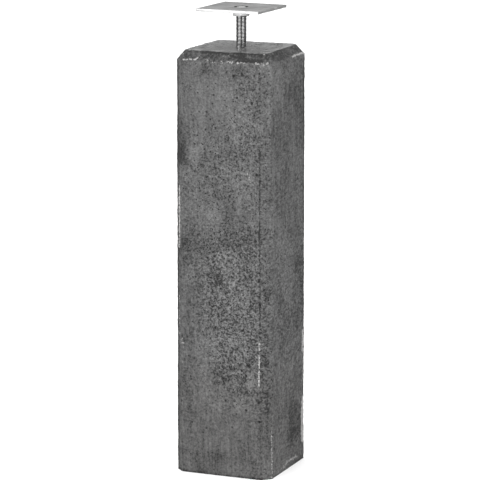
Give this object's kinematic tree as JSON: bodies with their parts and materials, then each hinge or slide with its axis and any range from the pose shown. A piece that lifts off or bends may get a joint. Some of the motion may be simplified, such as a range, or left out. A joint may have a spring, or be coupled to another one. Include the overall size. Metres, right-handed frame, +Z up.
{
  "type": "concrete column base block with adjustable bearing plate",
  "caption": "Tapered square cast concrete base block for a post, with bevelled corners and rim, a threaded rod in its top and a steel bearing plate that a hex nut raises or lowers.",
  "frame": {"origin": "middle of the block's underside", "axes": "+Z up along the rod's axis, X and Y square to the block's faces"},
  "size_m": [0.152, 0.152, 0.6885],
  "materials": {
    "cast_concrete": "anthracite cast concrete, fair-faced, with fine pores and lime marks",
    "zinc_thread": "zinc-plated rolled thread",
    "zinc_nut": "bright zinc plating",
    "zinc_plate": "galvanised sheet, satin"
  },
  "bodies": {
    "post_base": {"concrete_block": "cast_concrete", "threaded_rod": "zinc_thread"},
    "head_plate": {"bearing_plate": "zinc_plate"},
    "adjusting_nut": {"hex_nut": "zinc_nut"}
  },
  "joints": [
    {"name": "plate_lift", "type": "slide", "parent": "post_base", "child": "head_plate", "axis": [0, 0, 1], "range_m": [-0.04, 0.003]},
    {"name": "nut_turn", "type": "hinge", "parent": "head_plate", "child": "adjusting_nut", "pos_m": [0, 0, 0.6797], "axis": [0, 0, 1], "range_deg": [-7200, 540]}
  ],
  "couplings": [
    {"joint": "plate_lift", "follows": "nut_turn", "m_per_rad": 0.00031831}
  ]
}
